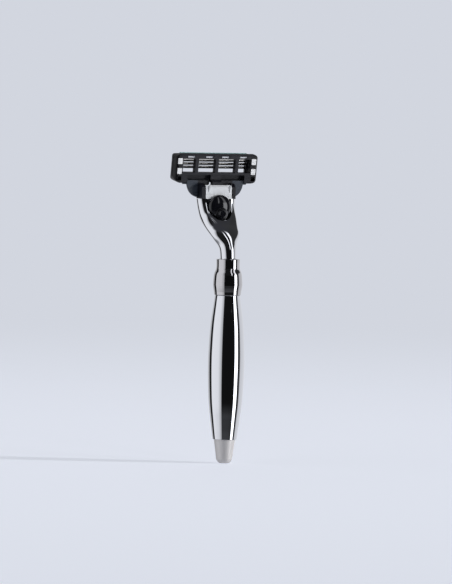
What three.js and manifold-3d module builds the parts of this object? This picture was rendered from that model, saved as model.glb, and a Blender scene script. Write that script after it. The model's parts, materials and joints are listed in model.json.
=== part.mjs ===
// Cartridge razor with a turned metal handle and a pivoting three-blade cartridge.
// Millimetres. +Z runs up the handle, +Y is the way the blades face, -Y is the release button's side.
import * as THREE from "three";
import { LoftGeometry } from "three/addons/geometries/LoftGeometry.js";
import { mergeVertices } from "three/addons/utils/BufferGeometryUtils.js";
import Module from "manifold-3d";

const wasm = await Module();
wasm.setup();

// ---------------------------------------------------------------- driving dimensions

const fitGap = 0.3; // clearance between neighbouring pieces
const turnSteps = 36; // facets round a turned piece

const tipLength = 10.6;
const tipFlatRadius = 1.6;
const tipTopRadius = 4.75;
const barrelLength = 63.6;
const barrelFootRadius = 5.3;
const barrelBellyRadius = 7.97;
const barrelHeadRadius = 5.55;
const barrelWall = 2.4;
const collarLength = 15.8;
const collarBellyRadius = 6.45;
const collarFootRadius = 5.87;
const collarTopRadius = 5.2;
const rodRadius = 2;
const rodInTip = 7.2;

const stemRadius = 3.5; // the neck where it leaves the collar
const neckHeadWidth = 18.4;
const neckHeadDepth = 6.1;
const neckRise = 26; // from the collar to the top of the neck's head
const neckReach = 13.75; // how far the head stands in front of the handle's axis
const spigotLength = 8;
const spigotRadius = 3.9;
const headWall = 1.05; // between the button's side of the head and the well inside it
const headFrontWall = 1.6; // between the well and the head's front

const dockHalfWidth = 7.1; // root of the connector inside the neck's head
const dockRootDepth = 1.95;
const dockDepth = 3.6; // how deep the connector stands in the head
const ejectorDepth = 5.3; // the same for the room behind it, where the ejector slides
const noseHalfWidth = 6.35;
const noseDepth = 4.4;
const noseHeight = 6.2;
const notchDepth = 3.4; // the two V notches in the nose's top edge
const plungerRadius = 0.9;
const plungerHeadWidth = 4.6;
const plungerHeadBack = 0.8; // behind the plunger's axis
const plungerHeadFront = 1.4; // in front of it, under the cartridge's cam
const camHalfWidth = 2.5;
const plungerHeadHeight = 2.4;
const springRadius = 0.65;
const springWire = 0.18;
const springTurns = 5;
const springLength = 5.4;

const buttonRadius = 5.4;
const buttonSkirt = 1.2;
const buttonDome = 2.4;
const buttonTravel = 3;
const buttonStemHalf = 1.2; // half the width of the stem that reaches the ejector
const buttonStemHeight = 2;
const recessDip = 0.25; // depth of the button's round recess in the head's back
const bossRadius = 2.75;
const bossOverhang = 0.25; // the thumb boss stands this far below the button's rim
const bossHeight = 4.9;
const ejectorThickness = 0.8;
const ejectorHalfWidth = 7.1;
const ejectorBar = 1.6;
const ejectorTongueHalf = 3.8;

const cartridgeWidth = 41.2;
const cartridgeHeight = 13.3;
const cartridgeDepth = 5.8;
const cartridgeEndRadius = 1.9;
const cartridgeCorner = 3.6;
const cartridgeTilt = THREE.MathUtils.degToRad(9);
const windowFoot = 4.75;
const windowTop = 10.9;
const windowHalf = 16.6; // half the length of the row of windows
const lowerRail = 0.95;
const blockInset = 6.6; // from the cartridge's end to the recess for the connector
const recessDepth = 2.6;
const ribPitch = 9.8;
const ribWidth = 1.5;
const slotCentres = [-12.7, -3.9, 3.9, 12.7]; // of the slots along the top rail
const slotHalf = 1.8;
const slotRise = 0.4; // from the windows up to the slots
const slotHeight = 0.85;
const tabInset = 0.35; // how far the strip's tabs stop short of the housing's back
const bladeCount = 3;
const bladePitch = 1.5;
const firstEdge = 5.7; // height of the lowest cutting edge on the cartridge
const bladeThickness = 0.1;
const bladeDepth = 1.4;
const bladeAngle = THREE.MathUtils.degToRad(22);
const supportThickness = 0.25;
const supportLeg = 2.2;
const clipTabWidth = 2.1;
const clipTabHeight = 2.6;
const clipThickness = 0.3;
const clipInset = 1.5; // from the cartridge's end to the clip tabs
const stripInset = 4.3; // from the cartridge's end to the ends of the strip and the guard
const clipBarOverlap = 0.8; // how far the clip's bar reaches over the blades' ends

const pivotUp = 1.66; // the pivot, from the cartridge's lower back edge
const pivotIn = 4.2;
const railInner = 2.95;
const railOuter = 3.65;
const railWidth = 1.6;
const railFrom = THREE.MathUtils.degToRad(196); // about the pivot, from the way the blades face
const railTo = THREE.MathUtils.degToRad(229);
const railSlotFrom = THREE.MathUtils.degToRad(140);
const railSlotTo = THREE.MathUtils.degToRad(238);

// ---------------------------------------------------------------- levels that follow from them

const barrelFoot = tipLength;
const collarFoot = barrelFoot + barrelLength;
const collarTop = collarFoot + collarLength;
const neckTop = collarTop + neckRise;
const headBack = neckReach - neckHeadDepth / 2;
const headFront = neckReach + neckHeadDepth / 2;
const spigotFoot = collarTop - spigotLength;
const dockFoot = neckTop - dockDepth;
const ejectorWellFoot = neckTop - ejectorDepth;
const dockFront = headFront - headFrontWall;
const dockRootBack = dockFront - dockRootDepth;
const noseBack = dockFront - noseDepth;
const noseTop = neckTop + noseHeight;
const boreY = neckReach - 0.25; // the plunger's axis in the connector
const hubFoot = neckTop + 0.2;
const cartridgeFootY = neckReach + 0.65;
const cartridgeFootZ = noseTop + 0.7;

// ---------------------------------------------------------------- solids

function solidOf(geometry) {
  const bare = new THREE.BufferGeometry();
  bare.setAttribute("position", geometry.attributes.position);
  bare.setIndex(geometry.index);
  const welded = mergeVertices(bare, 1e-5);
  const mesh = new wasm.Mesh({
    numProp: 3,
    vertProperties: new Float32Array(welded.attributes.position.array),
    triVerts: new Uint32Array(welded.index.array),
  });
  return new wasm.Manifold(mesh);
}

function geometryOf(solid) {
  const mesh = solid.getMesh();
  const geometry = new THREE.BufferGeometry();
  geometry.setAttribute("position", new THREE.Float32BufferAttribute(mesh.vertProperties, 3));
  geometry.setIndex(new THREE.Uint32BufferAttribute(mesh.triVerts, 1));
  geometry.computeVertexNormals();
  return geometry;
}

function cut(geometry, ...tools) {
  return geometryOf(tools.reduce((left, tool) => left.subtract(solidOf(tool)), solidOf(geometry)));
}

function join(geometry, ...others) {
  return geometryOf(others.reduce((sum, other) => sum.add(solidOf(other)), solidOf(geometry)));
}

function block(x, y, z) {
  const geometry = new THREE.BoxGeometry(x[1] - x[0], y[1] - y[0], z[1] - z[0]);
  geometry.translate((x[0] + x[1]) / 2, (y[0] + y[1]) / 2, (z[0] + z[1]) / 2);
  return geometry;
}

const symmetric = (half) => [-half, half];

function turned(profile, steps = turnSteps) {
  const points = profile.map(([radius, height]) => new THREE.Vector2(radius, height));
  return new THREE.LatheGeometry(points, steps).rotateX(Math.PI / 2);
}

function rod(radius, foot, top, y = 0, steps = 20) {
  const geometry = turned([[0, foot], [radius, foot], [radius, top], [0, top]], steps);
  geometry.translate(0, y, 0);
  return geometry;
}

function shapeOf(points) {
  return new THREE.Shape(points.map(([across, up]) => new THREE.Vector2(across, up)));
}

function extruded(shape, depth, curveSegments = 10) {
  return new THREE.ExtrudeGeometry(shape, { depth, bevelEnabled: false, curveSegments });
}

// An outline of (x, z) points given a thickness along Y.
function plateY(shape, y) {
  const geometry = extruded(shape, y[1] - y[0]);
  geometry.rotateX(Math.PI / 2);
  geometry.translate(0, y[1], 0);
  return geometry;
}

// An outline of (y, z) points given a thickness along X.
function plateX(shape, x) {
  const geometry = extruded(shape, x[1] - x[0]);
  const turn = new THREE.Matrix4().makeBasis(
    new THREE.Vector3(0, 1, 0),
    new THREE.Vector3(0, 0, 1),
    new THREE.Vector3(1, 0, 0),
  );
  geometry.applyMatrix4(turn);
  geometry.translate(x[0], 0, 0);
  return geometry;
}

function roundedRectangle(halfAcross, halfUp, radius) {
  const shape = new THREE.Shape();
  shape.moveTo(-halfAcross + radius, -halfUp);
  shape.lineTo(halfAcross - radius, -halfUp);
  shape.absarc(halfAcross - radius, -halfUp + radius, radius, -Math.PI / 2, 0);
  shape.lineTo(halfAcross, halfUp - radius);
  shape.absarc(halfAcross - radius, halfUp - radius, radius, 0, Math.PI / 2);
  shape.lineTo(-halfAcross + radius, halfUp);
  shape.absarc(-halfAcross + radius, halfUp - radius, radius, Math.PI / 2, Math.PI);
  shape.lineTo(-halfAcross, -halfUp + radius);
  shape.absarc(-halfAcross + radius, -halfUp + radius, radius, Math.PI, Math.PI * 1.5);
  return shape;
}

// A smooth run of [radius, height] points through the given ones.
function smooth(points, steps) {
  const curve = new THREE.SplineCurve(points.map(([radius, height]) => new THREE.Vector2(radius, height)));
  return curve.getPoints(steps).map((point) => [point.x, point.y]);
}

const mirrored = (geometry) => geometryOf(solidOf(geometry).mirror([1, 0, 0]));

// ---------------------------------------------------------------- materials

function finish(color, roughness, metalness) {
  return new THREE.MeshStandardMaterial({ color, roughness, metalness });
}

const chrome = finish(0xd8dadf, 0.06, 1);
const nickel = finish(0xbdbab8, 0.12, 1);
const satinNickel = finish(0xb9b7b5, 0.35, 1);
const steel = finish(0xc9c8c4, 0.25, 1);
const darkPlastic = finish(0x18181b, 0.4, 0);
const glossPlastic = finish(0x101014, 0.12, 0);
const slatePlastic = finish(0x3b4048, 0.35, 0);
const greyPlastic = finish(0xb4b5b6, 0.4, 0.4);
const rubber = finish(0x202226, 0.8, 0);
const aquaStrip = finish(0x9cc9c6, 0.5, 0);

const razor = new THREE.Group();

function place(parent, name, geometry, material) {
  const mesh = new THREE.Mesh(geometry, material);
  mesh.name = name;
  parent.add(mesh);
}

// ---------------------------------------------------------------- handle

function handleTip() {
  const noseRise = 3.1;
  const noseRadius = 3.7;
  const bore = rodRadius + fitGap;
  const boreFoot = tipLength - rodInTip;
  const roundEnd = [];
  for (let step = 0; step <= 5; step += 1) {
    const angle = (step / 5) * (Math.PI / 2);
    roundEnd.push([
      tipFlatRadius + (noseRadius - tipFlatRadius) * Math.sin(angle),
      noseRise * (1 - Math.cos(angle)),
    ]);
  }
  return turned([
    [0, 0],
    ...roundEnd,
    [tipTopRadius - 0.1, tipLength - 0.3],
    [tipTopRadius - 0.3, tipLength],
    [bore, tipLength],
    [bore, boreFoot],
    [0, boreFoot],
  ]);
}

function barrel() {
  const outline = smooth([
    [barrelFootRadius, barrelFoot],
    [barrelBellyRadius - 1.75, barrelFoot + 6.8],
    [barrelBellyRadius - 0.55, barrelFoot + 17.3],
    [barrelBellyRadius, barrelFoot + 32.7],
    [barrelBellyRadius - 0.28, collarFoot - 20.2],
    [barrelBellyRadius - 0.88, collarFoot - 11.9],
    [barrelHeadRadius + 0.5, collarFoot - 4],
    [barrelHeadRadius, collarFoot],
  ], 22);
  const bore = barrelHeadRadius - barrelWall;
  const first = outline[0];
  return turned([...outline, [bore, collarFoot], [bore, barrelFoot], first]);
}

function collar() {
  const rodBore = rodRadius + fitGap;
  const socket = spigotRadius + fitGap;
  const socketFoot = spigotFoot - fitGap;
  const outline = smooth([
    [collarFootRadius + 0.13, collarFoot + 1.3],
    [collarBellyRadius - 0.05, collarFoot + 3.8],
    [collarBellyRadius, collarFoot + 5.2],
    [collarBellyRadius - 0.35, collarFoot + 9.2],
    [collarTopRadius, collarFoot + 11.8],
    [collarTopRadius, collarTop - 0.2],
  ], 14);
  const foot = [collarFootRadius, collarFoot];
  return turned([
    foot,
    ...outline,
    [collarTopRadius - 0.2, collarTop],
    [socket, collarTop],
    [socket, socketFoot],
    [rodBore, socketFoot],
    [rodBore, collarFoot],
    foot,
  ]);
}

function tieRod() {
  const foot = tipLength - rodInTip + fitGap;
  return rod(rodRadius, foot, collarTop - fitGap, 0, 24);
}

// ---------------------------------------------------------------- neck

// The neck's run, as (half its width, reach in front of the handle's axis, height).
const headHalf = neckHeadWidth / 2;
const neckLine = new THREE.CatmullRomCurve3([
  new THREE.Vector3(stemRadius, 0, collarTop),
  new THREE.Vector3(stemRadius + 0.2, 0.4, collarTop + 4),
  new THREE.Vector3(stemRadius + 0.8, 1.1, collarTop + 6.3),
  new THREE.Vector3(stemRadius + 2.3, 2.2, collarTop + 8.7),
  new THREE.Vector3(headHalf - 2.4, 3.7, collarTop + 10.8),
  new THREE.Vector3(headHalf - 1.7, neckReach - 7.45, neckTop - 13),
  new THREE.Vector3(headHalf - 1, neckReach - 4.75, neckTop - 10.2),
  new THREE.Vector3(headHalf - 0.6, neckReach - 2.15, neckTop - 7.1),
  new THREE.Vector3(headHalf - 0.3, neckReach - 0.55, neckTop - 3.2),
  new THREE.Vector3(headHalf, neckReach, neckTop),
]);

// One cross-section of the neck: an ellipse along the stem, flat with round sides at the head.
// The point count isn't a multiple of four, so no two points meet at the middle of a flat side.
const sectionPoints = 22;

function neckSection(along) {
  const station = neckLine.getPointAt(along);
  const slope = along === 1 ? new THREE.Vector3(0, 0, 1) : neckLine.getTangentAt(along);
  const forward = new THREE.Vector3(0, slope.z, -slope.y).normalize();
  const centre = new THREE.Vector3(0, station.y, station.z);
  const thinning = THREE.MathUtils.smoothstep(along, 0.1, 0.6);
  const flatness = THREE.MathUtils.smoothstep(along, 0.35, 0.7);
  const halfDepth = THREE.MathUtils.lerp(stemRadius, neckHeadDepth / 2, thinning);
  const halfWidth = Math.max(station.x, halfDepth);
  const points = [];
  for (let index = 0; index < sectionPoints; index += 1) {
    const angle = (index / sectionPoints) * Math.PI * 2;
    const side = Math.sign(Math.cos(angle));
    const ellipse = halfWidth * Math.cos(angle);
    const flatBar = side * (halfWidth - halfDepth) + halfDepth * Math.cos(angle);
    const across = THREE.MathUtils.lerp(ellipse, flatBar, flatness);
    const through = (halfDepth * Math.sin(angle)) / Math.cos(Math.PI / sectionPoints);
    points.push(new THREE.Vector3(across, 0, 0).addScaledVector(forward, through).add(centre));
  }
  return points;
}

function neckBody(stations) {
  const sections = [];
  for (let station = 0; station <= stations; station += 1) {
    sections.push(neckSection(station / stations));
  }
  return new LoftGeometry(sections, { capStart: true, capEnd: true });
}

// The vertical stretch along which the button's stem slides.
const stemFoot = neckTop - 8.1;
const stemTop = stemFoot + buttonStemHeight;
const ejectorFoot = neckTop - 8.9;
const wellBack = headBack + headWall;

function neck() {
  const spigot = rod(spigotRadius, spigotFoot, collarTop + 0.5, 0, 28);
  const tapping = rod(rodRadius + fitGap, spigotFoot - 1, collarTop, 0, 20);
  const dockX = symmetric(dockHalfWidth + fitGap);
  const well = block(dockX, [dockRootBack - fitGap, dockFront + fitGap], [dockFoot - fitGap, neckTop + 1]);
  const ejectorWell = block(dockX, [wellBack, dockRootBack], [ejectorWellFoot - fitGap, neckTop + 1]);
  const tongueX = symmetric(ejectorTongueHalf + fitGap);
  const tongueZ = [ejectorFoot - fitGap, ejectorWellFoot];
  const tongueRoom = block(tongueX, [wellBack, dockRootBack - fitGap], tongueZ);
  const stemX = symmetric(buttonStemHalf + fitGap);
  const stemZ = [stemFoot - fitGap, stemTop + buttonTravel + fitGap];
  const stemSlot = block(stemX, [headBack - 4, dockRootBack - 1], stemZ);
  const recessRadius = buttonRadius + bossOverhang + fitGap;
  const recessY = [headBack - 8, headBack + recessDip];
  const recess = plateY(roundedRectangle(recessRadius, recessRadius, recessRadius - 0.01), recessY);
  recess.translate(0, 0, buttonCentre);
  const recessMouth = block(symmetric(recessRadius), recessY, [buttonCentre, neckTop + 1]);
  const body = join(neckBody(28), spigot);
  return cut(body, tapping, well, ejectorWell, tongueRoom, stemSlot, recess, recessMouth);
}

// ---------------------------------------------------------------- release button and ejector

const buttonCentre = neckTop - 3.4;
const buttonBase = headBack - 0.05;

function button() {
  const rim = buttonBase - buttonSkirt;
  const dome = [[0, 0], [buttonRadius, 0], [buttonRadius, buttonSkirt]];
  for (let step = 1; step <= 6; step += 1) {
    const angle = (step / 6) * (Math.PI / 2);
    const radius = step === 6 ? 0 : buttonRadius * Math.cos(angle);
    dome.push([radius, buttonSkirt + buttonDome * Math.sin(angle)]);
  }
  const cap = turned(dome, 32);
  cap.rotateX(Math.PI / 2);
  cap.translate(0, buttonBase, buttonCentre);
  const bossSteps = [[0, 0.2], [bossRadius, 0.2]];
  const treads = 3;
  for (let tread = 0; tread < treads; tread += 1) {
    const radius = bossRadius * (1 - tread * 0.22);
    const height = bossHeight - (treads - 1 - tread) * 0.55;
    bossSteps.push([radius, height], [radius * 0.82, height]);
  }
  bossSteps.push([0, bossHeight]);
  const boss = turned(bossSteps, 24);
  boss.rotateX(Math.PI / 2);
  boss.translate(0, buttonBase, buttonCentre - (buttonRadius + bossOverhang - bossRadius));
  const stem = block(symmetric(buttonStemHalf), [rim, wellBack + fitGap], [stemFoot, stemTop]);
  return join(cap, boss, stem);
}

function ejector() {
  const earTop = neckTop - buttonTravel - 0.4;
  const armInner = 3;
  const shoulder = ejectorWellFoot + 0.4;
  const outline = shapeOf([
    [-ejectorTongueHalf, ejectorFoot],
    [ejectorTongueHalf, ejectorFoot],
    [ejectorTongueHalf, shoulder - fitGap],
    [ejectorHalfWidth, shoulder],
    [ejectorHalfWidth, earTop],
    [armInner, earTop],
    [armInner, ejectorFoot + ejectorBar],
    [-armInner, ejectorFoot + ejectorBar],
    [-armInner, earTop],
    [-ejectorHalfWidth, earTop],
    [-ejectorHalfWidth, shoulder],
    [-ejectorTongueHalf, shoulder - fitGap],
  ]);
  const back = wellBack + fitGap;
  return plateY(outline, [back, back + ejectorThickness]);
}

// ---------------------------------------------------------------- connector on the neck

const plungerTop = cartridgeFootZ + 1.5;
const headPocketFoot = noseTop - 3.4;
const boreFoot = dockFoot + 0.4;

function connectorBody() {
  const root = block([-dockHalfWidth, dockHalfWidth], [dockRootBack, dockFront], [dockFoot, neckTop + 0.1]);
  const springBossHalf = 2.7;
  const springBossY = [wellBack + fitGap, dockRootBack + 1];
  const springBoss = block(symmetric(springBossHalf), springBossY, [dockFoot, neckTop + 0.1]);
  const nose = plateX(shapeOf([
    [noseBack, neckTop + 0.1],
    [dockFront, neckTop + 0.1],
    [dockFront, noseTop],
    [noseBack + 0.7, noseTop],
    [noseBack, noseTop - 0.9],
  ]), [-noseHalfWidth, noseHalfWidth]);
  const bore = rod(plungerRadius + 0.2, boreFoot, noseTop + 1, boreY);
  const pocketHalf = plungerHeadWidth / 2 + fitGap;
  const pocket = block(
    [-pocketHalf, pocketHalf],
    [boreY - plungerHeadBack - fitGap, boreY + plungerHeadFront + 1],
    [headPocketFoot, noseTop + 1],
  );
  const notchHalf = 0.9;
  const notchInset = 1.2;
  const notch = plateY(shapeOf([
    [-notchHalf, noseTop + 0.1],
    [0, noseTop - notchDepth],
    [notchHalf, noseTop + 0.1],
  ]), [noseBack - 1, noseBack + 0.9]);
  const leftNotch = notch.clone().translate(-noseHalfWidth + notchInset, 0, 0);
  const rightNotch = notch.clone().translate(noseHalfWidth - notchInset, 0, 0);
  return cut(join(root, springBoss, nose), bore, pocket, leftNotch, rightNotch);
}

function plunger() {
  const stemFootZ = boreFoot + springLength;
  const headFoot = plungerTop - plungerHeadHeight;
  const stem = rod(plungerRadius, stemFootZ, headFoot + 0.2, boreY);
  const halfWidth = plungerHeadWidth / 2;
  const head = plateX(shapeOf([
    [boreY - plungerHeadBack, headFoot],
    [boreY + plungerHeadFront, headFoot],
    [boreY + plungerHeadFront, plungerTop - 0.3],
    [boreY + plungerHeadFront - 0.3, plungerTop],
    [boreY + plungerHeadFront - 0.8, plungerTop],
    [boreY - plungerHeadBack, plungerTop - 1],
  ]), [-halfWidth, halfWidth]);
  return join(stem, head);
}

class Helix extends THREE.Curve {
  constructor(radius, foot, top, turns) {
    super();
    Object.assign(this, { radius, foot, top, turns });
  }

  getPoint(along) {
    const angle = along * this.turns * Math.PI * 2;
    const height = this.foot + (this.top - this.foot) * along;
    return new THREE.Vector3(this.radius * Math.cos(angle), this.radius * Math.sin(angle), height);
  }
}

function plungerSpring() {
  const foot = boreFoot + springWire + 0.15;
  const top = boreFoot + springLength - springWire - 0.15;
  const wireSection = new THREE.Shape().absarc(0, 0, springWire, 0, Math.PI * 2);
  const geometry = new THREE.ExtrudeGeometry(wireSection, {
    curveSegments: 3,
    steps: springTurns * 10,
    extrudePath: new Helix(springRadius, foot, top, springTurns),
  });
  geometry.translate(0, boreY, 0);
  return geometry;
}

// ---------------------------------------------------------------- cartridge connector

const cartridgeSine = Math.sin(cartridgeTilt);
const cartridgeCosine = Math.cos(cartridgeTilt);
const pivotY = cartridgeFootY + pivotIn * cartridgeCosine - pivotUp * cartridgeSine;
const pivotZ = cartridgeFootZ + pivotIn * cartridgeSine + pivotUp * cartridgeCosine;
const blockInner = cartridgeWidth / 2 - blockInset;
const bladeLength = cartridgeWidth - 2 * (clipInset + clipTabWidth + fitGap);

// A sector of a ring about the pivot line, from one angle to the other in the YZ plane.
function ringSector(inner, outer, from, to, x) {
  const shape = new THREE.Shape();
  shape.absarc(0, 0, outer, from, to, false);
  shape.absarc(0, 0, inner, to, from, true);
  return plateX(shape, x, 10);
}

function interconnect() {
  const hubHalf = noseHalfWidth + fitGap;
  const hubOuter = hubHalf + 1.55;
  const hubTop = noseTop + 0.8;
  const hubFront = dockFront + 1.3;
  const frontWallBack = dockFront + fitGap;
  const side = plateX(shapeOf([
    [noseBack - 0.1, hubFoot],
    [hubFront, hubFoot],
    [hubFront, hubTop],
    [noseBack + 1.6, hubTop],
    [noseBack - 0.1, hubTop - 1.6],
  ]), [hubHalf, hubOuter]);
  const front = block([-hubHalf - 0.5, hubHalf + 0.5], [frontWallBack, hubFront], [hubFoot, hubTop]);
  const wingOuter = blockInner - fitGap;
  const wingTop = cartridgeFootZ + 1.3;
  const wingY = [cartridgeFootY + 0.45, cartridgeFootY + 1.55];
  const wing = new THREE.Shape();
  wing.moveTo(hubOuter - 0.4, hubFoot + 0.6);
  wing.lineTo(hubOuter + 0.6, hubFoot + 0.6);
  wing.quadraticCurveTo(wingOuter - 0.8, hubFoot + 1.6, wingOuter, wingTop - 1.6);
  wing.lineTo(wingOuter, wingTop);
  wing.lineTo(0, wingTop);
  wing.lineTo(0, noseTop + fitGap);
  wing.lineTo(hubOuter - 0.4, noseTop + fitGap);
  const rightWing = plateY(wing, wingY);
  const railX = [wingOuter - 0.8, blockInner + railWidth];
  const rail = ringSector(railInner, railOuter, railFrom, railTo, railX);
  rail.translate(0, pivotY, pivotZ);
  const rightHalf = join(side, rightWing, rail);
  const camRoomHalf = camHalfWidth + 0.4;
  const camRoom = block([-camRoomHalf, camRoomHalf], [noseBack, hubFront + 1], [noseTop - 0.3, hubTop + 5]);
  return cut(join(rightHalf, mirrored(rightHalf), front), camRoom);
}

// ---------------------------------------------------------------- cartridge, in its own tilted frame
// x along the blades, y forward from the back plane, z up the face.

const halfCartridge = cartridgeWidth / 2;
const bladeTopDepth = cartridgeDepth - 0.05;

function housingBlank() {
  const plan = new THREE.Shape();
  const radius = cartridgeEndRadius;
  const straightHalf = halfCartridge - radius;
  const middle = cartridgeDepth / 2;
  plan.moveTo(-straightHalf, 0);
  plan.lineTo(straightHalf, 0);
  plan.absellipse(straightHalf, middle, radius, middle, -Math.PI / 2, Math.PI / 2);
  plan.lineTo(-straightHalf, cartridgeDepth);
  plan.absellipse(-straightHalf, middle, radius, middle, Math.PI / 2, Math.PI * 1.5);
  const body = extruded(plan, cartridgeHeight, 8);
  const profile = plateX(shapeOf([
    [0.5, 0],
    [cartridgeDepth - 1.2, 0],
    [cartridgeDepth, 1.2],
    [cartridgeDepth, cartridgeHeight - 1.6],
    [cartridgeDepth - 0.9, cartridgeHeight - 0.8],
    [1, cartridgeHeight],
    [0.3, cartridgeHeight - 0.25],
    [0, cartridgeHeight - 0.9],
    [0, 0.5],
  ]), [-halfCartridge - 1, halfCartridge + 1]);
  const faceOutline = roundedRectangle(halfCartridge, cartridgeHeight / 2, cartridgeCorner);
  const face = plateY(faceOutline, [-1, cartridgeDepth + 1]);
  face.translate(0, 0, cartridgeHeight / 2);
  return geometryOf(solidOf(body).intersect(solidOf(profile)).intersect(solidOf(face)));
}

const bladeBayHalf = bladeLength / 2 + fitGap;
const capFoot = windowTop - 0.1;
const guardTop = 4;
const bladeBayBack = 2.5;
const stripHalf = halfCartridge - stripInset; // half the length of the strip and of the guard
const seatGap = 0.1; // round the pieces that are pressed into the housing

// The windows between the ribs, seen from the button's side.
function windows() {
  const ribs = [-ribPitch, 0, ribPitch];
  const starts = [-windowHalf, ...ribs.map((rib) => rib + ribWidth / 2)];
  const ends = [...ribs.map((rib) => rib - ribWidth / 2), windowHalf];
  const windowY = [-1, bladeBayBack + 0.1];
  return starts.map((start, bay) => block([start, ends[bay]], windowY, [windowFoot, windowTop]));
}

function railSlot() {
  const slotX = [blockInner - 0.1, blockInner + railWidth + 0.6];
  const slot = ringSector(railInner - fitGap, railOuter + fitGap, railSlotFrom, railSlotTo, slotX);
  slot.translate(0, pivotIn, pivotUp);
  return slot;
}

// What fills one of the top rail's slots, less the gap all round.
function slotFill(centre, gap, y) {
  const half = slotHalf - gap;
  const foot = windowTop + slotRise;
  return block([centre - half, centre + half], y, [foot + gap, foot + slotHeight - gap]);
}

function bladeHousing() {
  const front = cartridgeDepth + 1;
  const bladeBay = block(symmetric(bladeBayHalf), [bladeBayBack, front], [guardTop + 0.3, windowTop]);
  const recess = block(symmetric(blockInner), [-1, recessDepth], [-1, windowFoot - lowerRail]);
  const seatX = symmetric(stripHalf + seatGap);
  const stripSeat = block(seatX, [cartridgeDepth - 1.3, front], [capFoot + 0.2, cartridgeHeight + 1]);
  const guardSeat = block(seatX, [cartridgeDepth - 1.4, front], [0.5, guardTop + 0.4]);
  const slots = slotCentres.map((centre) => slotFill(centre, 0, [-1, cartridgeDepth - 1]));
  const pocket = block([clipOuter - clipTabWidth, clipOuter], [-1, 1.5], [1.15, 3.05]);
  const rightCuts = [railSlot(), pocket, clipBody(clipSeatGap)];
  const leftCuts = rightCuts.map(mirrored);
  const shell = cut(
    housingBlank(),
    ...windows(),
    bladeBay,
    recess,
    stripSeat,
    guardSeat,
    ...slots,
    ...rightCuts,
    ...leftCuts,
  );
  const camTop = windowFoot - lowerRail + 0.2;
  const camBlock = block(symmetric(camHalfWidth), [0.3, 1.2], [plungerContact() + fitGap, camTop]);
  return join(shell, camBlock);
}

// Height of the plunger's tip in the cartridge's frame.
function plungerContact() {
  const forward = boreY + plungerHeadFront - cartridgeFootY;
  const up = plungerTop - cartridgeFootZ;
  return up * cartridgeCosine - forward * cartridgeSine;
}

const clipTabFeet = [4.05, 8.5];
const clipSeatGap = 0.15;
const clipOuter = halfCartridge - clipInset;
const clipFace = cartridgeDepth + 0.1; // the clip's bar lies on the face, over the blades' ends

// The right-hand clip: a bar over the blades' ends, with two legs through the housing bent over at the back.
// With a gap it is the room that the clip takes in the housing.
function clipBody(gap) {
  const tabX = [clipOuter - clipTabWidth - gap, clipOuter + gap];
  const legX = [clipOuter - clipThickness - gap, clipOuter + gap];
  const barX = [clipOuter - clipTabWidth - clipBarOverlap - gap, clipOuter + gap];
  const pieces = clipTabFeet.flatMap((foot) => {
    const height = [foot - gap, foot + clipTabHeight + gap];
    const tabBack = gap > 0 ? -1 : 0;
    return [
      block(tabX, [tabBack, clipThickness + gap], height),
      block(legX, [tabBack, clipFace + clipThickness], height),
    ];
  });
  const barTop = clipTabFeet[1] + clipTabHeight;
  const bar = block(barX, [clipFace, clipFace + clipThickness], [clipTabFeet[0] - gap, barTop + gap]);
  return join(bar, ...pieces);
}

// Gives the [y, z] point that lies so far along a blade from its cutting edge, and so deep under it.
// A blade runs from its edge inwards and up, at the blade angle to the face.
function bladePoints(index) {
  const edgeHeight = firstEdge + index * bladePitch;
  const sine = Math.sin(bladeAngle);
  const cosine = Math.cos(bladeAngle);
  return (along, deep) => [
    bladeTopDepth - sine * along - cosine * deep,
    edgeHeight + cosine * along - sine * deep,
  ];
}

function blade(index) {
  const point = bladePoints(index);
  const bevel = 0.35;
  return plateX(shapeOf([
    point(0, 0),
    point(bladeDepth, 0),
    point(bladeDepth, bladeThickness),
    point(bevel, bladeThickness),
  ]), symmetric(bladeLength / 2));
}

function bladeSupport(index) {
  const weldGap = 0.06;
  const point = bladePoints(index);
  const face = bladeThickness + weldGap;
  const under = face + supportThickness;
  const overlapFrom = 0.45;
  const heel = point(bladeDepth + 0.1, face);
  const innerHeel = point(bladeDepth - 0.1, under);
  const legEnd = innerHeel[0] - supportLeg + 0.6;
  const legTop = innerHeel[1] + supportThickness;
  return plateX(shapeOf([
    point(overlapFrom, face),
    heel,
    [heel[0] - 0.1, legTop],
    [legEnd, legTop],
    [legEnd, innerHeel[1]],
    innerHeel,
    point(overlapFrom, under),
  ]), symmetric(bladeLength / 2 - 0.2));
}

// The strip's back carries tabs that are snapped into the slots along the top rail.
function lubricatingStrip() {
  const strip = plateX(shapeOf([
    [cartridgeDepth - 1.2, capFoot + 0.3],
    [cartridgeDepth + 0.25, capFoot + 0.3],
    [cartridgeDepth + 0.4, capFoot + 0.8],
    [cartridgeDepth + 0.1, cartridgeHeight - 0.9],
    [cartridgeDepth - 0.5, cartridgeHeight - 0.4],
    [cartridgeDepth - 1.2, cartridgeHeight - 0.4],
  ]), symmetric(stripHalf));
  const tabs = slotCentres.map((centre) => slotFill(centre, seatGap, [tabInset, cartridgeDepth - 1]));
  return join(strip, ...tabs);
}

// The elastomer guard, with fins that stretch the skin ahead of the blades.
function guardStrip() {
  const back = cartridgeDepth - 1.3;
  const outline = [[back, 0.6], [cartridgeDepth - 0.5, 0.6]];
  const finCount = 5;
  const finPitch = 0.62;
  const finFoot = 0.8;
  for (let fin = 0; fin < finCount; fin += 1) {
    const foot = finFoot + fin * finPitch;
    const tip = cartridgeDepth + 0.05 + fin * 0.03;
    outline.push([tip - 0.55, foot], [tip, foot + 0.1], [tip, foot + 0.32], [tip - 0.55, foot + 0.42]);
  }
  outline.push([cartridgeDepth - 0.4, guardTop], [back, guardTop]);
  return plateX(shapeOf(outline), symmetric(stripHalf));
}

// ---------------------------------------------------------------- assembly

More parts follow.
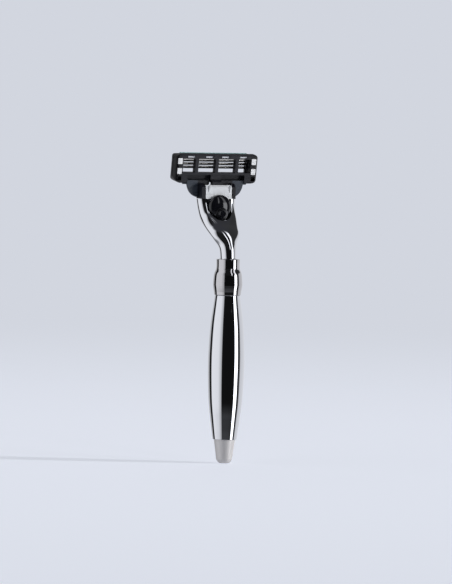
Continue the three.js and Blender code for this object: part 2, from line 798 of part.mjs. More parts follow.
place(razor, "handle_tip", handleTip(), satinNickel);
place(razor, "barrel", barrel(), chrome);
place(razor, "collar", collar(), nickel);
place(razor, "tie_rod", tieRod(), steel);
place(razor, "neck", neck(), chrome);
place(razor, "connector_body", connectorBody(), greyPlastic);
place(razor, "plunger", plunger(), darkPlastic);
place(razor, "plunger_spring", plungerSpring(), steel);
place(razor, "ejector", ejector(), darkPlastic);
place(razor, "release_button", button(), glossPlastic);
place(razor, "interconnect", interconnect(), slatePlastic);

const cartridge = new THREE.Group();
cartridge.position.set(0, cartridgeFootY, cartridgeFootZ);
cartridge.rotation.x = cartridgeTilt;
razor.add(cartridge);

place(cartridge, "blade_housing", bladeHousing(), darkPlastic);
place(cartridge, "guard_strip", guardStrip(), rubber);
place(cartridge, "lubricating_strip", lubricatingStrip(), aquaStrip);
place(cartridge, "clip_left", mirrored(clipBody(0)), steel);
place(cartridge, "clip_right", clipBody(0), steel);
for (let index = 0; index < bladeCount; index += 1) {
  place(cartridge, `blade_${index + 1}`, blade(index), steel);
  place(cartridge, `blade_support_${index + 1}`, bladeSupport(index), steel);
}

export default razor;
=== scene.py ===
import json
import math

import bmesh
import bpy
from mathutils import Matrix, Vector


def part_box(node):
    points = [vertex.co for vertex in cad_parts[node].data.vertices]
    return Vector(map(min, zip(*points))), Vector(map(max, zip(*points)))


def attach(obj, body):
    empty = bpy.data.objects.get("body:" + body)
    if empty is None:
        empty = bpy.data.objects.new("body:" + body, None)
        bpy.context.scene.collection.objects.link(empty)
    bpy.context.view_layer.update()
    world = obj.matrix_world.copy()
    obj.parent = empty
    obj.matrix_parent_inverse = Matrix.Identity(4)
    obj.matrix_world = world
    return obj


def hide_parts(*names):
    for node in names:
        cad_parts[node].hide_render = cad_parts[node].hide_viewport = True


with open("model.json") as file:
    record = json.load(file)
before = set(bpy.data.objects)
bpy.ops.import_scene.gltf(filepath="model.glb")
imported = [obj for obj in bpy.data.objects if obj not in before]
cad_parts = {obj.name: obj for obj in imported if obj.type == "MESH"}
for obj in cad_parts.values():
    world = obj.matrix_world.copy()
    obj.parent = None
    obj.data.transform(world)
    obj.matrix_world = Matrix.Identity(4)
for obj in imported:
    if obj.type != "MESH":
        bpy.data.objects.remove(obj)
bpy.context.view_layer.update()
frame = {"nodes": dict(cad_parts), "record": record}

MM = 0.001
HANDLE = "handle"
BUTTON = "button"
CARTRIDGE = "cartridge"
CONNECTOR = "refill_connector"

# ------------------------------------------------------------------ frame sizes

collar_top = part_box("collar")[1].z
neck_low, neck_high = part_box("neck")
button_low, button_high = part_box("release_button")
button_radius = (button_high.x - button_low.x) / 2
button_centre = button_high.z - button_radius

# ------------------------------------------------------------------ materials


def node_material(name, base, roughness, metallic=0.0, coat=0.0, specular=0.5):
    material = bpy.data.materials.new(name)
    material.use_nodes = True
    shader = material.node_tree.nodes["Principled BSDF"]
    shader.inputs["Base Color"].default_value = (*base, 1)
    shader.inputs["Roughness"].default_value = roughness
    shader.inputs["Metallic"].default_value = metallic
    shader.inputs["Coat Weight"].default_value = coat
    shader.inputs["Coat Roughness"].default_value = 0.05
    shader.inputs["Specular IOR Level"].default_value = specular
    return material, shader


def object_noise(material, scale, detail=3.0, stretch=(1, 1, 1)):
    nodes, links = material.node_tree.nodes, material.node_tree.links
    place = nodes.new("ShaderNodeTexCoord")
    mapping = nodes.new("ShaderNodeMapping")
    mapping.inputs["Scale"].default_value = stretch
    noise = nodes.new("ShaderNodeTexNoise")
    noise.inputs["Scale"].default_value = scale
    noise.inputs["Detail"].default_value = detail
    links.new(place.outputs["Object"], mapping.inputs["Vector"])
    links.new(mapping.outputs["Vector"], noise.inputs["Vector"])
    return noise


def vary_roughness(material, shader, scale, low, high, stretch=(1, 1, 1)):
    nodes, links = material.node_tree.nodes, material.node_tree.links
    noise = object_noise(material, scale, stretch=stretch)
    spread = nodes.new("ShaderNodeMapRange")
    spread.inputs["From Min"].default_value = 0.3
    spread.inputs["From Max"].default_value = 0.7
    spread.inputs["To Min"].default_value = low
    spread.inputs["To Max"].default_value = high
    links.new(noise.outputs["Fac"], spread.inputs["Value"])
    links.new(spread.outputs["Result"], shader.inputs["Roughness"])


def add_bump(material, shader, scale, strength, distance, stretch=(1, 1, 1)):
    nodes, links = material.node_tree.nodes, material.node_tree.links
    noise = object_noise(material, scale, detail=4.0, stretch=stretch)
    bump = nodes.new("ShaderNodeBump")
    bump.inputs["Strength"].default_value = strength
    bump.inputs["Distance"].default_value = distance
    links.new(noise.outputs["Fac"], bump.inputs["Height"])
    links.new(bump.outputs["Normal"], shader.inputs["Normal"])


def chrome():
    material, shader = node_material("chrome", (0.87, 0.88, 0.91), 0.04, metallic=1)
    vary_roughness(material, shader, 90, 0.02, 0.05)
    return material


def nickel():
    material, shader = node_material("nickel", (0.66, 0.65, 0.66), 0.07, metallic=1)
    vary_roughness(material, shader, 120, 0.05, 0.1)
    return material


def satin_nickel():
    material, shader = node_material("satin_nickel", (0.74, 0.715, 0.7), 0.5, metallic=0.4, specular=0.3)
    vary_roughness(material, shader, 500, 0.44, 0.56, stretch=(1, 1, 8))
    add_bump(material, shader, 2500, 0.12, 0.00003, stretch=(1, 1, 6))
    return material


def steel():
    material, shader = node_material("steel", (0.8, 0.78, 0.74), 0.2, metallic=1)
    vary_roughness(material, shader, 400, 0.12, 0.26, stretch=(0.2, 1, 6))
    add_bump(material, shader, 2000, 0.04, 0.00001, stretch=(0.1, 1, 3))
    return material


def steel_with_painted_glint():
    # Painted glint: the clips' steel is painted near white with little metal in it, standing in for the
    # bright reflection they throw.
    material, shader = node_material("steel_with_painted_glint", (0.93, 0.93, 0.92), 0.35, metallic=0.25, specular=0.8)
    vary_roughness(material, shader, 300, 0.28, 0.42)
    return material


def blade_steel():
    # The blades are near black: partly their own dark coating, partly painted shade that draws the dark
    # lines between the bright supports.
    material, shader = node_material("blade_steel", (0.12, 0.12, 0.125), 0.3, metallic=1)
    vary_roughness(material, shader, 500, 0.22, 0.38, stretch=(0.2, 1, 6))
    return material


def grey_plastic():
    material, shader = node_material("grey_plastic", (0.8, 0.81, 0.82), 0.42, metallic=0.15)
    vary_roughness(material, shader, 600, 0.3, 0.46)
    add_bump(material, shader, 2500, 0.35, 0.00006)
    return material


def blend(material, shader, socket, share, near, far):
    """The shader's socket goes from one colour to the other as the share goes from 0 to 1."""
    nodes, links = material.node_tree.nodes, material.node_tree.links
    mix = nodes.new("ShaderNodeMix")
    mix.data_type = "RGBA"
    mix.inputs["A"].default_value = (*near, 1)
    mix.inputs["B"].default_value = (*far, 1)
    links.new(share, mix.inputs["Factor"])
    links.new(mix.outputs["Result"], shader.inputs[socket])


# Between these distances the housing's painted light over its middle gives way to darker painted shade at
# its ends.
HOUSING_ENDS = (16 * MM, 19 * MM)  # distances from the middle plane
# Between these distances the interconnect's painted shade over its middle gives way to its wings' slate
# colour.
HUB_SIDES = (8.1 * MM, 8.9 * MM)


def paint_shade_outwards(material, shader, near, far, low, high):
    """Painted light and shade: the base colour goes from one to the other between two distances from the
    middle plane.
    """
    nodes, links = material.node_tree.nodes, material.node_tree.links
    place = nodes.new("ShaderNodeTexCoord")
    split = nodes.new("ShaderNodeSeparateXYZ")
    links.new(place.outputs["Object"], split.inputs[0])
    distance = nodes.new("ShaderNodeMath")
    distance.operation = "ABSOLUTE"
    links.new(split.outputs["X"], distance.inputs[0])
    share = nodes.new("ShaderNodeMapRange")
    share.inputs["From Min"].default_value = low
    share.inputs["From Max"].default_value = high
    links.new(distance.outputs[0], share.inputs["Value"])
    blend(material, shader, "Base Color", share.outputs["Result"], near, far)


def dark_plastic():
    material, shader = node_material("dark_plastic", (0.012, 0.012, 0.015), 0.33, specular=0.4)
    # Painted light and shade: the housing is painted lighter over its middle, where its rails catch the
    # light, and darker at its ends.
    paint_shade_outwards(material, shader, (0.016, 0.016, 0.02), (0.004, 0.004, 0.005), *HOUSING_ENDS)
    vary_roughness(material, shader, 500, 0.28, 0.44)
    add_bump(material, shader, 3500, 0.15, 0.00004)
    return material


def gloss_plastic():
    material, shader = node_material("gloss_plastic", (0.006, 0.006, 0.008), 0.07, coat=0.4)
    vary_roughness(material, shader, 200, 0.05, 0.1)
    return material


def slate_plastic():
    material, shader = node_material("slate_plastic", (0.035, 0.042, 0.055), 0.33)
    # Painted shade: the interconnect is near black over its middle, where it sits in the recess under the
    # housing, and keeps its slate colour out on its wings.
    paint_shade_outwards(material, shader, (0.005, 0.005, 0.008), (0.04, 0.048, 0.062), *HUB_SIDES)
    vary_roughness(material, shader, 400, 0.26, 0.42)
    add_bump(material, shader, 3000, 0.1, 0.00003)
    return material


def rubber():
    material, shader = node_material("rubber", (0.02, 0.022, 0.026), 0.75)
    add_bump(material, shader, 3000, 0.25, 0.00005)
    return material


PALE_PLASTIC = (0.82, 0.83, 0.86)
STRIP_FRONT_DEPTH = 2.2 * MM
STRIP_EDGE = 0.2 * MM  # over which the aqua goes over to the pale plastic


def pale_tabs(material, shader):
    """The strip's tabs, behind its front part, are of the bare pale plastic."""
    nodes, links = material.node_tree.nodes, material.node_tree.links
    place = nodes.new("ShaderNodeTexCoord")
    split = nodes.new("ShaderNodeSeparateXYZ")
    links.new(place.outputs["Object"], split.inputs[0])
    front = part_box("lubricating_strip")[1].y
    share = nodes.new("ShaderNodeMapRange")
    share.inputs["From Min"].default_value = front - STRIP_FRONT_DEPTH - STRIP_EDGE
    share.inputs["From Max"].default_value = front - STRIP_FRONT_DEPTH
    links.new(split.outputs["Y"], share.inputs["Value"])
    aqua = shader.inputs["Base Color"].default_value[:3]
    blend(material, shader, "Base Color", share.outputs["Result"], PALE_PLASTIC, aqua)


def aqua_strip():
    material, shader = node_material("aqua_strip", (0.42, 0.68, 0.68), 0.5)
    pale_tabs(material, shader)
    shader.inputs["Subsurface Weight"].default_value = 0.2
    shader.inputs["Subsurface Radius"].default_value = (0.001, 0.001, 0.001)
    vary_roughness(material, shader, 300, 0.4, 0.6)
    add_bump(material, shader, 1500, 0.2, 0.00005, stretch=(0.3, 1, 1))
    return material


MATERIALS = {
    "chrome": chrome(),
    "nickel": nickel(),
    "satin_nickel": satin_nickel(),
    "steel": steel(),
    "steel_with_painted_glint": steel_with_painted_glint(),
    "blade_steel": blade_steel(),
    "grey_plastic": grey_plastic(),
    "dark_plastic": dark_plastic(),
    "gloss_plastic": gloss_plastic(),
    "slate_plastic": slate_plastic(),
    "rubber": rubber(),
    "aqua_strip": aqua_strip(),
}


# ------------------------------------------------------------------ mesh helpers


def paint(obj, slot, look=None):
    obj.data.materials.clear()
    obj.data.materials.append(MATERIALS[look or slot])


def link_object(name, data):
    obj = bpy.data.objects.new(name, data)
    bpy.context.scene.collection.objects.link(obj)
    return obj


def new_piece(name, vertices, faces, body, slot):
    mesh = bpy.data.meshes.new(name)
    mesh.from_pydata([tuple(v) for v in vertices], [], faces)
    mesh.validate()
    clean = bmesh.new()
    clean.from_mesh(mesh)
    bmesh.ops.recalc_face_normals(clean, faces=clean.faces)
    clean.to_mesh(mesh)
    clean.free()
    obj = link_object(name, mesh)
    obj.data.materials.append(MATERIALS[slot])
    if body:
        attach(obj, body)
    return obj


def smooth_shade(obj, angle=35):
    obj.data.polygons.foreach_set("use_smooth", [True] * len(obj.data.polygons))
    obj.data.set_sharp_from_angle(angle=math.radians(angle))


def bevel(obj, width, segments=3, angle=35):
    modifier = obj.modifiers.new("bevel", "BEVEL")
    modifier.width = width
    modifier.segments = segments
    modifier.limit_method = "ANGLE"
    modifier.angle_limit = math.radians(angle)
    modifier.harden_normals = True
    modifier.use_clamp_overlap = True
    return modifier


def merge_flats(obj, angle=0.6):
    modifier = obj.modifiers.new("flats", "DECIMATE")
    modifier.decimate_type = "DISSOLVE"
    modifier.angle_limit = math.radians(angle)
    return modifier


def along_span(a, b, c, d, t):
    """The Catmull-Rom value at a share t of the way from b to c."""
    slope = c - a
    bend = 2 * a - 5 * b + 4 * c - d
    twist = 3 * b - a - 3 * c + d
    return 0.5 * (2 * b + slope * t + bend * t * t + twist * t ** 3)


def catmull_rom(points, per_span):
    """Points on a smooth curve through the given ones, each a tuple of any length."""
    first = tuple(2 * a - b for a, b in zip(points[0], points[1]))
    last = tuple(2 * a - b for a, b in zip(points[-1], points[-2]))
    run = [first, *points, last]
    out = []
    for i in range(1, len(run) - 2):
        near_points = list(zip(run[i - 1], run[i], run[i + 1], run[i + 2]))
        for step in range(per_span):
            out.append(tuple(along_span(*values, step / per_span) for values in near_points))
    out.append(tuple(points[-1]))
    return out


def revolve(name, profile, body, slot, segments=144, closed=True):
    """A turned piece from a profile of (radius, height); a closed profile comes back to its start."""
    vertices, faces, rows = [], [], []
    for radius, height in profile:
        if radius < 1e-6:
            rows.append([len(vertices)] * segments)
            vertices.append((0, 0, height))
            continue
        rows.append(list(range(len(vertices), len(vertices) + segments)))
        for i in range(segments):
            angle = 2 * math.pi * i / segments
            vertices.append((radius * math.cos(angle), radius * math.sin(angle), height))
    pairs = list(zip(rows, rows[1:]))
    if closed:
        pairs.append((rows[-1], rows[0]))
    for low, high in pairs:
        for i in range(segments):
            j = (i + 1) % segments
            corners = list(dict.fromkeys((low[i], low[j], high[j], high[i])))
            if len(corners) > 2:
                faces.append(corners)
    return new_piece(name, vertices, faces, body, slot)


def rings_of(node):
    """The CAD node's rings as {height to 0.01 mm: (smallest, largest radius)}."""
    rings = {}
    for vertex in frame["nodes"][node].data.vertices:
        height = round(vertex.co.z, 5)
        radius = math.hypot(vertex.co.x, vertex.co.y)
        low, high = rings.get(height, (math.inf, 0))
        rings[height] = (min(low, radius), max(high, radius))
    return dict(sorted(rings.items()))


def boolean(obj, cutters, operation="DIFFERENCE"):
    """Cuts or joins for good, and removes the cutters."""
    for cutter in cutters:
        modifier = obj.modifiers.new("bool", "BOOLEAN")
        modifier.operation = operation
        modifier.object = cutter
        modifier.solver = "EXACT"
    bpy.context.view_layer.update()
    evaluated = obj.evaluated_get(bpy.context.evaluated_depsgraph_get())
    result = bpy.data.meshes.new_from_object(evaluated)
    obj.modifiers.clear()
    obj.data = result
    for cutter in cutters:
        bpy.data.objects.remove(cutter)


def tool_box(low, high):
    mesh = bpy.data.meshes.new("tool")
    shape = bmesh.new()
    size = [b - a for a, b in zip(low, high)]
    centre = [(a + b) / 2 for a, b in zip(low, high)]
    bmesh.ops.create_cube(shape, size=1, matrix=Matrix.Translation(centre) @ Matrix.Diagonal((*size, 1)))
    shape.to_mesh(mesh)
    shape.free()
    return link_object("tool", mesh)


def tool_cylinder_y(x, z, radius, y_low, y_high, segments=128):
    mesh = bpy.data.meshes.new("tool")
    shape = bmesh.new()
    place = Matrix.Translation((x, (y_low + y_high) / 2, z)) @ Matrix.Rotation(math.pi / 2, 4, "X")
    bmesh.ops.create_cone(
        shape,
        cap_ends=True,
        segments=segments,
        radius1=radius,
        radius2=radius,
        depth=y_high - y_low,
        matrix=place,
    )
    shape.to_mesh(mesh)
    shape.free()
    return link_object("tool", mesh)


# ------------------------------------------------------------------ handle

SKIN_SHARE = 0.8  # a ring narrower than this share of its neighbours is a bore's, not the skin's
NOSE_HEIGHT = 2 * MM  # up to this height above the foot, every ring is the skin's
SWELL_ROOM = 0.01 * MM
TIP_BORE_DEPTH = 7 * MM
PROFILE_STEPS = 6


def turned_piece(name, node, slot, edge, tip=False):
    """A finer copy of one of the handle's turned CAD nodes, smoothed along its profile."""
    rings = rings_of(node)
    heights = list(rings)
    wide = [rings[z][1] for z in heights]
    beside = [max(a, b) for a, b in zip([wide[1], *wide], [*wide[1:], wide[-2]])]
    foot, top = heights[0], heights[-1]
    nose = foot + NOSE_HEIGHT
    outer = [(w, z) for w, z, b in zip(wide, heights, beside) if w > SKIN_SHARE * b or z < nose]
    foot_bore, top_bore = rings[foot][0], rings[top][0]
    widest = max(radius for radius, _ in outer) - SWELL_ROOM  # the curve may not swell past the CAD box
    profile = [(min(radius, widest), height) for radius, height in catmull_rom(outer, PROFILE_STEPS)]
    if tip:
        bore_end = top - TIP_BORE_DEPTH
        profile = [(0, foot), *profile, (top_bore, top), (top_bore, bore_end), (0, bore_end)]
    else:
        profile += [(top_bore, top), (foot_bore, foot)]
    obj = revolve(name, profile, HANDLE, slot, closed=not tip)
    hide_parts(node)
    bevel(obj, edge)
    smooth_shade(obj)


turned_piece("barrel_visual", "barrel", "chrome", edge=0.25 * MM)
turned_piece("collar_visual", "collar", "nickel", edge=0.2 * MM)
turned_piece("handle_tip_visual", "handle_tip", "satin_nickel", edge=0.15 * MM, tip=True)


# ------------------------------------------------------------------ neck

STEM_RADIUS = 3.5 * MM
HEAD_DEPTH = 6.1 * MM
HEAD_WALL = 1.05 * MM
BOSS_OVERHANG = 0.25 * MM
CLEARANCE = 0.3 * MM  # round the dock in its well, and round the boss in its recess
RECESS_DEPTH = 0.25 * MM
CUT_REACH = 8 * MM  # how far the recess's cutters stand out behind the head
THINNING = (0.1, 0.6)  # shares of the neck's length between which it thins
FLATTENING = (0.35, 0.7)  # shares between which it goes from round to flat
NECK_STEPS = 14
NECK_RING = 98
head_half = (neck_high.x - neck_low.x) / 2
neck_reach = neck_high.y - HEAD_DEPTH / 2
neck_top = neck_high.z

# The neck's run, as (half its width, reach in front of the handle's axis, height).
NECK_LINE = [
    (STEM_RADIUS, 0.0, collar_top),
    (STEM_RADIUS + 0.2 * MM, 0.4 * MM, collar_top + 4 * MM),
    (STEM_RADIUS + 0.8 * MM, 1.1 * MM, collar_top + 6.3 * MM),
    (STEM_RADIUS + 2.3 * MM, 2.2 * MM, collar_top + 8.7 * MM),
    (head_half - 2.4 * MM, 3.7 * MM, collar_top + 10.8 * MM),
    (head_half - 1.7 * MM, neck_reach - 7.45 * MM, neck_top - 13 * MM),
    (head_half - 1 * MM, neck_reach - 4.75 * MM, neck_top - 10.2 * MM),
    (head_half - 0.6 * MM, neck_reach - 2.15 * MM, neck_top - 7.1 * MM),
    (head_half - 0.3 * MM, neck_reach - 0.55 * MM, neck_top - 3.2 * MM),
    (head_half, neck_reach, neck_top),
]


def smoothstep(value, low, high):
    t = max(0.0, min(1.0, (value - low) / (high - low)))
    return t * t * (3 - 2 * t)


def neck_section(half_width, half_depth, flatness):
    """An ellipse at flatness 0, a flat bar with round sides at 1; no point falls at the middle of a side."""
    points = []
    for index in range(NECK_RING):
        angle = 2 * math.pi * index / NECK_RING
        side = math.copysign(1, math.cos(angle))
        ellipse = half_width * math.cos(angle)
        flat_bar = side * (half_width - half_depth) + half_depth * math.cos(angle)
        points.append((ellipse + (flat_bar - ellipse) * flatness, half_depth * math.sin(angle)))
    return points


def neck_skin():
    """The neck's vertices and faces, ring after ring up its line."""
    line = catmull_rom(NECK_LINE, NECK_STEPS)
    length = [0.0]
    for before, after in zip(line, line[1:]):
        length.append(length[-1] + math.dist(before, after))
    vertices, faces = [], []
    for i, (half_width, y, z) in enumerate(line):
        before, after = line[max(0, i - 1)], line[min(len(line) - 1, i + 1)]
        tangent = Vector((0, after[1] - before[1], after[2] - before[2])).normalized()
        if i == len(line) - 1:
            tangent = Vector((0, 0, 1))
        forward = Vector((0, tangent.z, -tangent.y))
        share = length[i] / length[-1]
        thinning = smoothstep(share, *THINNING)
        half_depth = STEM_RADIUS + (HEAD_DEPTH / 2 - STEM_RADIUS) * thinning
        flatness = smoothstep(share, *FLATTENING)
        for x, deep in neck_section(max(half_width, half_depth), half_depth, flatness):
            vertices.append(Vector((x, y, z)) + forward * deep)
    for row in range(len(line) - 1):
        low, high = row * NECK_RING, (row + 1) * NECK_RING
        for i in range(NECK_RING):
            j = (i + 1) % NECK_RING
            faces.append((low + i, low + j, high + j, high + i))
    last = (len(line) - 1) * NECK_RING
    faces.append(tuple(range(NECK_RING)))
    faces.append(tuple(range(last, last + NECK_RING)))
    return vertices, faces


def neck_piece():
    obj = new_piece("neck_visual", *neck_skin(), HANDLE, "chrome")
    root_low, root_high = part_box("connector_body")
    head_back = neck_reach - HEAD_DEPTH / 2
    well = tool_box(
        (root_low.x - CLEARANCE, head_back + HEAD_WALL, root_low.z - CLEARANCE),
        (root_high.x + CLEARANCE, root_high.y + CLEARANCE, neck_high.z + MM),
    )
    seat_radius = button_radius + BOSS_OVERHANG + CLEARANCE
    floor = head_back + RECESS_DEPTH
    behind = head_back - CUT_REACH
    seat = tool_cylinder_y(0, button_centre, seat_radius, behind, floor)
    open_top = tool_box((-seat_radius, behind, button_centre), (seat_radius, floor, neck_high.z + MM))
    boolean(obj, [well])
    boolean(obj, [seat])
    boolean(obj, [open_top])
    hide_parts("neck")
    smooth_shade(obj, angle=30)


neck_piece()


# ------------------------------------------------------------------ release button


BUTTON_SKIRT = 1.2 * MM
BUTTON_DOME = 2.4 * MM
BUTTON_EDGE = 0.2 * MM
BUTTON_CLEARANCE = 0.05 * MM
DOME_STEPS = 28
BOSS_RADIUS = 2.75 * MM
BOSS_HEIGHT = 4.9 * MM
TREADS = 3
TREAD_RISE = 0.55 * MM
TREAD_SHRINK = 0.22  # how much narrower each tread is, as a share of the boss
TREAD_FLAT = 0.82  # where a tread's flat ends, as a share of the tread
TREAD_EDGE = 0.18 * MM
TREAD_EDGE_STEPS = 4


def button_profile():
    radius = button_radius
    profile = [(0, 0), (radius - BUTTON_EDGE, 0), (radius, BUTTON_EDGE), (radius, BUTTON_SKIRT)]
    for step in range(1, DOME_STEPS):
        angle = step / DOME_STEPS * math.pi / 2
        profile.append((radius * math.cos(angle), BUTTON_SKIRT + BUTTON_DOME * math.sin(angle)))
    profile.append((0, BUTTON_SKIRT + BUTTON_DOME))
    return profile


def boss_profile():
    """Three round treads, each narrower and higher than the last."""
    profile = [(0, BUTTON_EDGE), (BOSS_RADIUS, BUTTON_EDGE)]
    for tread in range(TREADS):
        radius = BOSS_RADIUS * (1 - tread * TREAD_SHRINK)
        height = BOSS_HEIGHT - (TREADS - 1 - tread) * TREAD_RISE
        for step in range(TREAD_EDGE_STEPS + 1):
            angle = step / TREAD_EDGE_STEPS * math.pi / 2
            out = radius - TREAD_EDGE + TREAD_EDGE * math.cos(angle)
            up = height - TREAD_EDGE + TREAD_EDGE * math.sin(angle)
            profile.append((out, up))
        profile.append((radius * TREAD_FLAT, height))
    profile.append((0, BOSS_HEIGHT))
    return profile


def button_piece():
    base_y = neck_reach - HEAD_DEPTH / 2 - BUTTON_CLEARANCE
    boss_z = button_centre - button_radius - BOSS_OVERHANG + BOSS_RADIUS
    cap = revolve("release_button_visual", button_profile(), None, "gloss_plastic", closed=False)
    boss = revolve("boss_tool", boss_profile(), None, "gloss_plastic", segments=96, closed=False)
    turn = Matrix.Rotation(math.pi / 2, 4, "X")
    cap.data.transform(Matrix.Translation((0, base_y, button_centre)) @ turn)
    boss.data.transform(Matrix.Translation((0, base_y, boss_z)) @ turn)
    boolean(cap, [boss], "UNION")
    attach(cap, BUTTON)
    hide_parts("release_button")
    smooth_shade(cap, angle=40)


button_piece()


# ------------------------------------------------------------------ pieces kept from the CAD

SLOTS = {part["node"]: part["material_slot"] for part in frame["record"]["subparts"]}
# The clips wear the steel with the painted glint.
LOOKS = {"clip_left": "steel_with_painted_glint", "clip_right": "steel_with_painted_glint"}  # where a slot has more than one look
REPLACED = ("barrel", "collar", "handle_tip", "neck", "release_button")
EDGES = {
    "blade_housing": 0.12 * MM,
    "interconnect": 0.2 * MM,
    "connector_body": 0.25 * MM,
    "clip_left": 0.06 * MM,
    "clip_right": 0.06 * MM,
    "lubricating_strip": 0.12 * MM,
    "guard_strip": 0.05 * MM,
    "plunger": 0.1 * MM,
    "ejector": 0.1 * MM,
}

for node, cad_object in frame["nodes"].items():
    if node in REPLACED:
        continue
    paint(cad_object, SLOTS[node], LOOKS.get(node))
    if node in EDGES:
        merge_flats(cad_object)
        bevel(cad_object, EDGES[node], segments=2)
    smooth_shade(cad_object)


# ------------------------------------------------------------------ floor, world and camera

BACKDROP = (0.645, 0.672, 0.74)
FLOOR_TINT = (0.5, 0.52, 0.57)
FLOOR_GLOW = 0.74
FLOOR_REACH = 6.0
FADE_START = 0.1  # metres from the razor
FADE_END = 1.2


def fade_to_backdrop(material, shader):
    """Further off the floor loses its own shade and takes the backdrop's colour."""
    nodes, links = material.node_tree.nodes, material.node_tree.links
    place = nodes.new("ShaderNodeTexCoord")
    distance = nodes.new("ShaderNodeVectorMath")
    distance.operation = "LENGTH"
    links.new(place.outputs["Object"], distance.inputs[0])
    share = nodes.new("ShaderNodeMapRange")
    share.interpolation_type = "SMOOTHSTEP"
    share.inputs["From Min"].default_value = FADE_START
    share.inputs["From Max"].default_value = FADE_END
    links.new(distance.outputs["Value"], share.inputs["Value"])
    glow = [FLOOR_GLOW * level for level in BACKDROP]
    blend(material, shader, "Base Color", share.outputs["Result"], FLOOR_TINT, (0, 0, 0))
    blend(material, shader, "Emission Color", share.outputs["Result"], glow, BACKDROP)
    shader.inputs["Emission Strength"].default_value = 1


def stage_floor():
    mesh = bpy.data.meshes.new("floor")
    signs = ((-1, -1), (1, -1), (1, 1), (-1, 1))
    mesh.from_pydata([(x * FLOOR_REACH, y * FLOOR_REACH, 0) for x, y in signs], [], [(0, 1, 2, 3)])
    obj = link_object("floor", mesh)
    material, shader = node_material("floor", FLOOR_TINT, 0.7, specular=0)
    vary_roughness(material, shader, 20, 0.6, 0.8)
    fade_to_backdrop(material, shader)
    obj.data.materials.append(material)
    obj.visible_glossy = False


CAMERA_AZIMUTH = -26.0

# What the studio shows round the razor at eye level, as (degrees, brightness).
# The degrees are from the camera, and go down to the left.
STUDIO = [
    (-180, 0.7), (-133, 0.45), (-130, 0.01), (-108, 0.01), (-103, 0.85), (-50, 0.8),
    (-40, 0.62), (-29, 0.45), (-26, 0.006), (57, 0.006), (59, 3.0), (78, 3.0),
    (80, 0.03), (99, 0.05), (103, 0.62), (140, 0.7), (180, 0.75),
]
# The same, higher up.
STUDIO_ABOVE = [
    (-180, 0.5), (-133, 0.35), (-130, 0.01), (-106, 0.01), (-101, 0.85), (-50, 0.8),
    (-42, 0.6), (-30, 0.3), (-27, 0.012), (31, 0.012), (33, 1.6), (38, 1.6),
    (40, 0.012), (60, 0.012), (63, 1.4), (74, 1.4), (77, 0.03), (98, 0.03),
    (150, 0.04), (165, 0.4), (180, 0.5),
]
STUDIO_TINT = (0.97, 0.985, 1.03)
TABLE = (0.16, 0.165, 0.18)
CEILING = (0.035, 0.036, 0.042)
# Elevations in degrees between which one part of the studio goes over to the next.
TABLE_TO_WALLS = (-40, -12)
WALLS_TO_ABOVE = (12, 20)
WALLS_TO_CEILING = (55, 75)


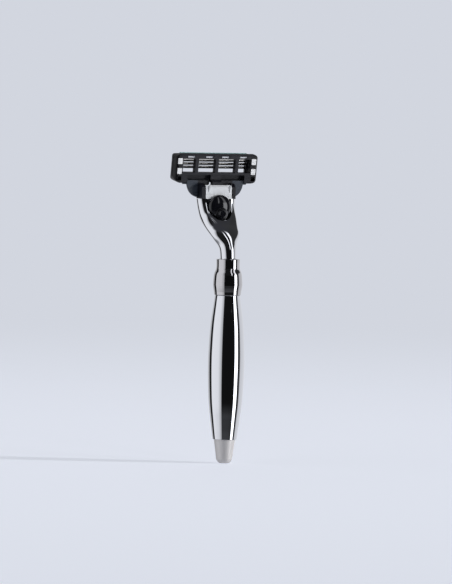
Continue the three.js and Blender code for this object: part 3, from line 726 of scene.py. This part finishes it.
def studio_world():
    world = bpy.data.worlds.new("studio")
    bpy.context.scene.world = world
    world.use_nodes = True
    nodes, links = world.node_tree.nodes, world.node_tree.links
    nodes.clear()

    def math_node(operation, a, b=None):
        node = nodes.new("ShaderNodeMath")
        node.operation = operation
        for socket, value in zip(node.inputs, (a, b)):
            if value is None:
                continue
            if isinstance(value, (int, float)):
                socket.default_value = value
            else:
                links.new(value, socket)
        return node.outputs[0]

    place = nodes.new("ShaderNodeTexCoord")
    split = nodes.new("ShaderNodeSeparateXYZ")
    links.new(place.outputs["Generated"], split.inputs[0])
    forward = math_node("MULTIPLY", split.outputs["Y"], -1.0)
    azimuth = math_node("ARCTAN2", split.outputs["X"], forward)
    turn = math_node("ADD", azimuth, math.radians(180 - CAMERA_AZIMUTH))
    share = math_node("FRACT", math_node("DIVIDE", turn, 2 * math.pi))

    def ring_of_light(levels):
        ring = nodes.new("ShaderNodeValToRGB")
        links.new(share, ring.inputs["Fac"])
        stops = ring.color_ramp.elements
        while len(stops) > 1:
            stops.remove(stops[-1])
        for index, (degrees, level) in enumerate(levels):
            stop = stops[0] if index == 0 else stops.new((degrees + 180) / 360)
            stop.position = (degrees + 180) / 360
            stop.color = (*[level * tint for tint in STUDIO_TINT], 1)
        return ring.outputs["Color"]

    def change_over(below, above, low, high):
        """One colour below the low elevation and the other above the high one, in degrees."""
        rise = nodes.new("ShaderNodeMapRange")
        rise.interpolation_type = "SMOOTHSTEP"
        rise.inputs["From Min"].default_value = math.sin(math.radians(low))
        rise.inputs["From Max"].default_value = math.sin(math.radians(high))
        links.new(split.outputs["Z"], rise.inputs["Value"])
        mix = nodes.new("ShaderNodeMix")
        mix.data_type = "RGBA"
        links.new(rise.outputs["Result"], mix.inputs["Factor"])
        for socket, colour in (("A", below), ("B", above)):
            if isinstance(colour, tuple):
                mix.inputs[socket].default_value = (*colour, 1)
            else:
                links.new(colour, mix.inputs[socket])
        return mix.outputs["Result"]

    walls = change_over(ring_of_light(STUDIO), ring_of_light(STUDIO_ABOVE), *WALLS_TO_ABOVE)
    room = change_over(change_over(TABLE, walls, *TABLE_TO_WALLS), CEILING, *WALLS_TO_CEILING)
    light = nodes.new("ShaderNodeBackground")
    links.new(room, light.inputs["Color"])
    backdrop = nodes.new("ShaderNodeBackground")
    backdrop.inputs["Color"].default_value = (*BACKDROP, 1)
    path = nodes.new("ShaderNodeLightPath")
    seen = nodes.new("ShaderNodeMixShader")
    links.new(path.outputs["Is Camera Ray"], seen.inputs[0])
    links.new(light.outputs[0], seen.inputs[1])
    links.new(backdrop.outputs[0], seen.inputs[2])
    out = nodes.new("ShaderNodeOutputWorld")
    links.new(seen.outputs[0], out.inputs["Surface"])


SUN_STRENGTH = 2.0
SUN_SPREAD = 2  # degrees
SUN_AWAY = 0.04  # how far the light travels away from the camera for each unit to the left
SUN_DROP = 0.36  # how far it drops


def side_light():
    """A low light from the right that draws the thin shadow on the floor."""
    data = bpy.data.lights.new("side_light", "SUN")
    data.energy = SUN_STRENGTH
    data.angle = math.radians(SUN_SPREAD)
    obj = link_object("side_light", data)
    a = math.radians(CAMERA_AZIMUTH)
    to_the_left = Vector((-math.cos(a), -math.sin(a), 0))
    away = Vector((-math.sin(a), math.cos(a), 0))
    travel = to_the_left + away * SUN_AWAY + Vector((0, 0, -SUN_DROP))
    obj.matrix_world = travel.to_track_quat("-Z", "Y").to_matrix().to_4x4()
    obj.visible_glossy = False


LENS = 258.904  # in millimetres, as the sensor
SENSOR = 36.0
DISTANCE = 1.848
ELEVATION = 2.6
ROLL = 1.2
AIM_HEIGHT = 75.5 * MM
AIM_SIDE = -0.68 * MM


def studio_camera():
    data = bpy.data.cameras.new("camera")
    data.sensor_width = SENSOR
    data.lens = LENS
    obj = link_object("camera", data)
    a, e = math.radians(CAMERA_AZIMUTH), math.radians(ELEVATION)
    back = Vector((math.sin(a) * math.cos(e), -math.cos(a) * math.cos(e), math.sin(e)))
    right = Vector((math.cos(a), math.sin(a), 0))
    aim = Vector((0, 0, AIM_HEIGHT)) + right * AIM_SIDE
    facing = (-back).to_track_quat("-Z", "Y").to_matrix().to_4x4()
    tilt = Matrix.Rotation(math.radians(ROLL), 4, "Z")
    obj.matrix_world = Matrix.Translation(aim + back * DISTANCE) @ facing @ tilt
    data.clip_end = 50
    bpy.context.scene.camera = obj


stage_floor()
studio_world()
side_light()
studio_camera()
bpy.context.scene.view_settings.view_transform = "Standard"
